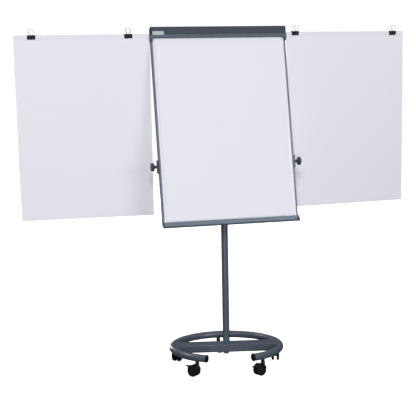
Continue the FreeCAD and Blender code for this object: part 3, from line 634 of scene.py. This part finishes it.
CORNER_IN, CORNER_CHEEK, CORNER_OUT = 0.351, 0.360, 0.3638
TRAY_HALF = 0.360
TRAY_PLATE, TRAY_BEND = 0.0019, 0.0016
PLATE_CORNER = 0.002
PLATE_FACE, PLATE_BACK = -0.0169, -0.0160


def build_pad():
    """The stack of sheets and its front page, which stands a hair proud."""
    half = SHEET_WIDE / 2
    long = PAD_TOP - PAD_FOOT
    outline = [(-half, PAD_FRONT), (half, PAD_FRONT), (half, PAD_BACK), (-half, PAD_BACK)]
    stack = finish_mesh("pad_stack", pushed(outline, PAD_FOOT, PAD_TOP, "z"), "edges", "board", BOARD,
                        bevel=0.0003)
    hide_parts("paper_pad")

    def surface(across, down):
        """The page: nearly flat, its foot curling forwards."""
        lift = PAGE_WAVE * noise.noise(Vector((across * 3, down * 4, 1.7)))
        curl = PAGE_CURL * max(0.0, down - CURL_FROM) / (1 - CURL_FROM)
        return Vector((-half + SHEET_WIDE * across, PAGE_FRONT + lift - curl, PAD_TOP - long * down))

    sheet = paper_mesh(surface, 28, 40, SHEET_WIDE, long, PAGE_THICK)
    page = finish_paper("pad_page", sheet, "pad", "board", BOARD)


def bar_section(back):
    """The bar's bent plate: a front face and a top that reaches back."""
    line = mm([(BAR_FRONT, BAR_LOW), (BAR_FRONT, BAR_TOP), (back, BAR_TOP)])
    return folded(line, BAR_PLATE, BAR_BEND, 8)


def build_clamp_cover():
    """The bent bar with the knuckles of its hinge."""
    bar = [pushed(bar_section(BAR_BACK), -BAR_HALF_OPEN, BAR_HALF_OPEN)]
    for side in (-1, 1):
        low, high = sorted((side * BAR_HALF_OPEN, side * BAR_HALF))
        bar.append(pushed(bar_section(BAR_SHORT_BACK), low, high))
    along = Matrix.Translation(HINGE) @ Matrix.Rotation(math.radians(90), 4, "Y")
    for low, high in HINGE_KNUCKLES:
        tube = mm([(2.55, low), (7.1, low), (7.5, low + 0.4), (7.5, high - 0.4), (7.1, high), (2.55, high),
                   (2.55, low)])
        bar.append(shifted(turned(tube, 40), along))
    piece = finish_mesh("clamp_cover", join(bar), "clamp", "clamp", BOARD)
    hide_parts("clamp_bar")


def build_clamp_lip():
    """The sloped lip below the bar, which presses on the pad."""
    line = mm([(-13.1, -29), (-13.1, -40.5), (-16.6, -56.6), (-2.6, -56.6)])
    lip = pushed(folded(line, 0.0017, 0.0022, 6), -LIP_HALF, LIP_HALF)
    piece = finish_mesh("clamp_lip_plate", lip, "corner", "clamp", BOARD)
    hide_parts("clamp_lip")


def build_clamp_caps():
    """End caps of the bar, each bulging outwards halfway up."""
    edge = 0.0006
    low, high = -0.0402, 0.0002
    front, front_edge, back_edge, back = -0.0161, -0.0153, -0.0026, -0.0016
    caps = []
    for side in (-1, 1):
        rings = []
        for layer in range(CAP_LAYERS + 1):
            up = layer / CAP_LAYERS
            z = low + (high - low) * up
            bulge = 0.0012 + 0.0024 * math.sin(math.pi * up) ** 0.7
            inner = side * BAR_HALF
            outer = side * (BAR_HALF + bulge)
            rings.append([(inner, front, z), (outer - side * edge, front, z), (outer, front_edge, z),
                          (outer, back_edge, z), (outer - side * edge, back, z), (inner, back, z)])
        caps.append(loft(rings))
    piece = finish_mesh("clamp_caps", join(caps), "dark", "clamp", BOARD)
    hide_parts("clamp_end_caps")


def build_springs():
    """Torsion springs on the hinge rod, each a coil with two legs."""
    coils = []
    for tag, side in SIDES:
        start = Vector((side * SPRING_ACROSS - SPRING_HALF, HINGE.y, HINGE.z))
        points = [(start.x + LEG_START, HINGE.y - 0.001, HINGE.z + SPRING_LEG)]
        for step in range(SPRING_TURNS * SPRING_STEPS + 1):
            turn = 2 * math.pi * step / SPRING_STEPS
            points.append((start.x + SPRING_PITCH * step / SPRING_STEPS,
                           start.y + SPRING_COIL * math.sin(turn),
                           start.z + SPRING_COIL * math.cos(turn)))
        points.append((start.x + LEG_END, HINGE.y + 0.001, HINGE.z - SPRING_LEG))
        coils.append(wire_mesh("coil", points, SPRING_WIRE, resolution=3))
    piece = finish_mesh("torsion_springs", join(coils), "steel", "board", BOARD)
    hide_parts("clamp_springs")


def build_corners():
    """Moulded corner pieces wrapped round the tops of the side rails."""
    front = mm([(0, -41), (-13.4, -41), (-14, -41.6), (-16.4, -56.4), (-16.2, -58), (-6.6, -73.4),
                (-5.6, -74), (0, -74)])
    cheek = mm([(-8, -41), (17, -41), (24, -48), (24, -67), (17, -74), (-8, -74)])
    pieces = []
    for side in (-1, 1):
        for outline, inner in ((front, CORNER_IN), (cheek, CORNER_CHEEK)):
            low, high = sorted((side * inner, side * CORNER_OUT))
            pieces.append(pushed(outline, low, high))
    piece = finish_mesh("rail_corners", join(pieces), "corner", "board", BOARD, bevel=0.0007, segments=3)
    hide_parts("frame_corners")


def build_tray():
    """The pen tray: one bent strip, with a rolled front lip in a darker tone."""
    lines = (("tray_strip", "tray", [(-1, -991), (-1, -1020), (-17, -1020)]),
             ("tray_lip", "lip", [(-17.02, -1020), (-21, -1020), (-21, -1013.2)]))
    for name, material, line in lines:
        section = folded(mm(line), TRAY_PLATE, TRAY_BEND, 5)
        piece = finish_mesh(name, pushed(section, -TRAY_HALF, TRAY_HALF), material, "board", BOARD)
        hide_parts("pen_tray")


def build_plate():
    """The small blank plate on the clamp bar, with rounded corners and two rivets."""
    left, right, low, high = -0.353, -0.293, -0.0435, -0.0240
    corner = PLATE_CORNER
    outline = []
    centres = ((right - corner, high - corner, 0), (left + corner, high - corner, 90),
               (left + corner, low + corner, 180), (right - corner, low + corner, 270))
    for x, z, start in centres:
        for step in range(6):
            turn = math.radians(start + 18 * step)
            outline.append((x + corner * math.cos(turn), z + corner * math.sin(turn)))
    parts = [pushed(outline, PLATE_FACE, PLATE_BACK, "y")]
    rivet = mm([(0, 0.5), (0.6, 0.45), (1.1, 0.25), (1.3, 0)])
    for x in (left + 0.004, right - 0.004):
        place = Matrix.Translation((x, PLATE_FACE, (low + high) / 2))
        parts.append(shifted(turned(rivet, 20), place @ Matrix.Rotation(math.radians(90), 4, "X")))
    piece = finish_mesh("side_plate", join(parts), "plate", "clamp", BOARD)
    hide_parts("label_plate")


build_pad()
build_clamp_cover()
build_clamp_lip()
build_clamp_caps()
build_springs()
build_corners()
build_tray()
build_plate()
dress("writing_panel", "board")
dress("clamp_hinge_rod", "steel", 0.0003)
for tag, side in SIDES:
    dress("frame_" + tag, "rail", 0.0004)
    dress("peg_" + tag, "steel", 0.0004)
    dress("arm_bracket_" + tag, "base", 0.0006)
dress("frame_top", "rail", 0.0006)
dress("frame_bottom", "rail", 0.0006)
dress("tray_end_caps", "dark", 0.0004)
dress("arm_hinge_pins", "steel", 0.0004)

# ---------------------------------------------------------------- knobs

FLUTES, FLUTE_DEPTH = 10, 0.0021
FLUTE_START, FLUTE_BLEND = 0.0176, 0.0024  # the flutes deepen outwards from this radius


def fluted(radius, turn):
    """A radius of the knob, with the grip's flutes cut into it."""
    if radius < FLUTE_START:
        return radius
    crest = (math.cos(FLUTES * turn) + 1) / 2
    return radius - FLUTE_DEPTH * crest ** 2.2 * min(1.0, (radius - FLUTE_START) / FLUTE_BLEND)


def build_knob(tag, side):
    """Moulded hand knob: hub, fluted grip, rolled rims and a slightly dished face.  The heights
    are millimetres from the middle of the easel."""
    profile = mm([(4.1, 372), (6.6, 372), (7.0, 372.5), (7.8, 378), (9.2, 384.1), (17.8, 384.5),
                  (19.4, 385.1), (20.6, 386.4), (21, 388.2), (21, 395.6), (20.5, 397.6),
                  (19.3, 398.9), (17.4, 399.5), (10.4, 399.5), (9.2, 399.0), (0, 398.7)])
    place = Matrix.Translation(spot("side_knob_%s_turn" % tag) * Vector((0, 1, 1)))
    place = place @ Matrix.Rotation(math.radians(90 * side), 4, "Y")
    knob = turned(profile, 120, fluted)
    piece = finish_mesh("knob_" + tag, knob, "knob", "knob_" + tag, place, sharp=50)
    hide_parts("side_knob_" + tag)


for tag, side in SIDES:
    build_knob(tag, side)
    dress("knob_stud_" + tag, "steel", 0.0003)
    dress("slide_block_" + tag, "knob", 0.0012, 3)

# ---------------------------------------------------------------- side arms, sheets and clips

# In an arm's own frame, in metres: a sheet's inner edge, its front face and its top, how far its foot
# drifts to the right and back, and for each clip its place along the sheet and its extra height.
# The turn of the foot is in degrees.
SHEETS = {
    "left": {"edge": 0.0151, "front": -0.033, "top": 1.7308, "turn": 4.14, "drift": (0.0079, 0.0391),
             "clips": ((0.107, 0.0), (0.591, 0.0))},
    "right": {"edge": 0.0214, "front": -0.032, "top": 1.7347, "turn": 4.05, "drift": (0.0179, -0.0034),
              "clips": ((0.050, 0.0035), (0.6165, 0.0))}}
SHEET_LONG = 0.928
SHEET_HEAD = 0.032  # held flat by the clips
SHEET_THICK = 0.0003
SHEET_WAVE, SHEET_RIPPLE = 0.0035, 0.0022
CLIP_HALF, CLIP_WIDE = 0.0200, 0.0090
CLIP_GRIP = 0.0022  # half of what the mouth holds
CLIP_HIGH, CLIP_DROP = 0.0217, 0.0212
CLIP_PLATE, CLIP_BEND = 0.0008, 0.0016
MOUTH_LOW = 0.0012  # the height where the plate and the handles start
CLIP_ROLLS = ((-CLIP_HALF, -0.0088), (-0.0048, 0.0048), (0.0088, CLIP_HALF))
ROLL_IN, ROLL_OUT = 0.0011, 0.0016
ROLL_HEIGHT = 0.0013
HANDLE_WIRE = 0.0009
HANDLE_LEAN = 0.335  # outwards with the plate, for each metre up


def build_sheet(tag, side):
    """A hanging sheet: flat behind the clips, then a soft twist with a slow wave."""
    data = SHEETS[tag]
    turn = math.radians(data["turn"])
    drift_x, drift_y = data["drift"]

    def surface(across, down):
        """The sheet: straight along its top, its foot turned and moved."""
        out = side * across * SHEET_WIDE
        top = Vector((side * data["edge"] + out, data["front"] + 0.0002, data["top"] - down * SHEET_LONG))
        fall = max(0.0, down * SHEET_LONG - SHEET_HEAD) / (SHEET_LONG - SHEET_HEAD)
        foot_x = side * data["edge"] + drift_x + out * math.cos(turn)
        foot_y = data["front"] + drift_y + out * math.sin(turn)
        wave = SHEET_WAVE * math.sin(math.pi * across) * math.sin(math.pi * fall)
        uneven = noise.noise(Vector((across * 2.2 + side, down * 2.6, 3.1)))
        ripple = SHEET_RIPPLE * uneven * min(1.0, fall * 3)
        return Vector((top.x + (foot_x - top.x) * fall, top.y + (foot_y - top.y) * fall + wave + ripple,
                       top.z))

    sheet = paper_mesh(surface, 40, 56, SHEET_WIDE, SHEET_LONG, SHEET_THICK)
    piece = finish_paper("hanging_sheet_" + tag, sheet, "sheet", "side_arm_" + tag, ARM[tag])
    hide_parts("sheet_" + tag)


def clip_body():
    """A clip's folded plate and the rolls along its two mouths."""
    mouth = CLIP_GRIP + 0.0006
    line = [(-mouth, MOUTH_LOW), (-CLIP_WIDE, CLIP_HIGH), (CLIP_WIDE, CLIP_HIGH), (mouth, MOUTH_LOW)]
    parts = [pushed(folded(line, CLIP_PLATE, CLIP_BEND, 6), -CLIP_HALF, CLIP_HALF)]
    for face in (-1, 1):
        for low, high in CLIP_ROLLS:
            roll = [(ROLL_IN, low), (ROLL_OUT, low), (ROLL_OUT, high), (ROLL_IN, high), (ROLL_IN, low)]
            place = Matrix.Translation((0, face * (CLIP_GRIP + ROLL_OUT), ROLL_HEIGHT))
            parts.append(shifted(turned(roll, 16), place @ Matrix.Rotation(math.radians(90), 4, "Y")))
    return parts


def clip_handle(face):
    """One handle: a heart of bent wire that follows the slope of its plate."""
    half = mm([(11.5, 1.2), (7.6, 1.2), (6.9, 2.4), (6.8, 9), (6.8, 17), (6.9, 23), (8.6, 28),
               (12.4, 34), (14.2, 41), (11.5, 48), (5.5, 49.6), (0, 49.4)])
    heart = [(-x, z) for x, z in half] + half[-2::-1]
    mouth = face * (CLIP_GRIP + ROLL_OUT)
    path = [(x, mouth + face * max(0.0, z - MOUTH_LOW) * HANDLE_LEAN, z) for x, z in heart]
    return wire_mesh("handle", path, HANDLE_WIRE)


def build_clips(tag, side):
    """Spring clips: folded plate with rolled mouths, and two bent wire handles each."""
    data = SHEETS[tag]
    bodies = []
    wires = []
    for along, lift in data["clips"]:
        place = Matrix.Translation((side * (data["edge"] + along), data["front"] + CLIP_GRIP,
                                    data["top"] - CLIP_DROP + lift))
        bodies += [shifted(part, place) for part in clip_body()]
        wires += [shifted(clip_handle(face), place) for face in (-1, 1)]
    piece = finish_mesh("clip_plates_" + tag, join(bodies), "clip", "side_arm_" + tag, ARM[tag])
    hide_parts("clips_" + tag)
    piece = finish_mesh("clip_wires_" + tag, join(wires), "wire", "side_arm_" + tag, ARM[tag])
    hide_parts("clip_handles_" + tag)


for tag, side in SIDES:
    build_sheet(tag, side)
    build_clips(tag, side)
    dress("arm_" + tag, "base", 0.0006)

# ---------------------------------------------------------------- floor, surround, lamps and camera


def build_floor():
    """A floor that is white to the camera and dark to the easel above it."""
    bpy.ops.mesh.primitive_plane_add(size=60)
    floor = bpy.context.object
    floor.name = "floor"
    material, shader = blank("floor_white", (0.95, 0.95, 0.95), 0.0, 0.9)
    shader.inputs["Emission Color"].default_value = (1, 1, 1, 1)
    shader.inputs["Emission Strength"].default_value = 0.82
    dull = add(material, "ShaderNodeBsdfDiffuse", {"Color": (0.12, 0.12, 0.125, 1)})
    seen = add(material, "ShaderNodeLightPath").outputs["Is Camera Ray"]
    mix = add(material, "ShaderNodeMixShader", {0: seen, 1: dull.outputs[0], 2: shader.outputs[0]})
    output = material.node_tree.nodes["Material Output"]
    material.node_tree.links.new(mix.outputs[0], output.inputs["Surface"])
    floor.data.materials.append(material)


def build_surround():
    """White to the camera; to the easel a soft light that grows with height."""
    world = bpy.data.worlds.new("surround")
    bpy.context.scene.world = world
    world.use_nodes = True
    world.node_tree.nodes.clear()
    white = add(world, "ShaderNodeBackground", {"Color": (1, 1, 1, 1), "Strength": 1.05})
    direction = add(world, "ShaderNodeTexCoord").outputs["Generated"]
    height = add(world, "ShaderNodeSeparateXYZ", {0: direction}).outputs["Z"]
    inputs = {"Value": height, "From Min": 0.0, "From Max": 0.8, "To Min": 0.05, "To Max": 0.34}
    glow = add(world, "ShaderNodeMapRange", inputs).outputs["Result"]
    soft = add(world, "ShaderNodeBackground", {"Color": (0.96, 0.98, 1, 1), "Strength": glow})
    seen = add(world, "ShaderNodeLightPath").outputs["Is Camera Ray"]
    mix = add(world, "ShaderNodeMixShader", {0: seen, 1: soft.outputs[0], 2: white.outputs[0]})
    add(world, "ShaderNodeOutputWorld", {"Surface": mix.outputs[0]})


def add_lamp(name, place, aim, size, power, mirrored=True):
    """A soft rectangle of light; mirrored says whether gloss shows it."""
    data = bpy.data.lights.new(name, "AREA")
    data.shape = "RECTANGLE"
    data.size = size[0]
    data.size_y = size[1]
    data.energy = power
    lamp = bpy.data.objects.new(name, data)
    bpy.context.collection.objects.link(lamp)
    lamp.location = place
    lamp.visible_camera = False
    lamp.visible_glossy = mirrored
    lamp.rotation_euler = (Vector(aim) - Vector(place)).to_track_quat("-Z", "Y").to_euler()


def build_camera():
    """Long lens a little left of the front, looking slightly down and tilted a little."""
    place = Vector((-1.752, -5.717, 1.556))
    yaw, pitch, roll = math.radians(16.24), math.radians(6.90), math.radians(1.06)
    ahead = Vector((math.sin(yaw) * math.cos(pitch), math.cos(yaw) * math.cos(pitch), -math.sin(pitch)))
    level = Vector((math.cos(yaw), -math.sin(yaw), 0))
    down = ahead.cross(level)
    right = level * math.cos(roll) + down * math.sin(roll)
    up = level * math.sin(roll) - down * math.cos(roll)
    turn = Matrix((right, up, -ahead)).transposed().to_4x4()
    data = bpy.data.cameras.new("camera")
    data.sensor_width = 36
    data.lens = 100.385
    data.clip_end = 200
    camera = bpy.data.objects.new("camera", data)
    bpy.context.collection.objects.link(camera)
    camera.matrix_world = Matrix.Translation(place) @ turn
    bpy.context.scene.camera = camera


build_floor()
build_surround()
add_lamp("key", (-2.4, -8.0, 5.4), (0, 0, 0.9), (2.4, 2.0), 400)
add_lamp("front", (-2.5, -7.9, 1.1), (0, 0, 0.8), (1.0, 2.0), 135)
add_lamp("fill", (3.2, -7.0, 2.6), (0, 0, 1.1), (3.6, 3.0), 150)
add_lamp("left_back", (-3.2, 2.0, 3.3), (0, 0, 0.2), (0.7, 1.2), 34)
add_lamp("rear", (1.5, 8.0, 4.2), (0, 0, 0.9), (4.0, 3.0), 240, mirrored=False)
add_lamp("back", (-0.95, 4.2, 0.75), (0, 0, 0.1), (0.7, 0.7), 20)
build_camera()
bpy.context.scene.view_settings.view_transform = "Standard"
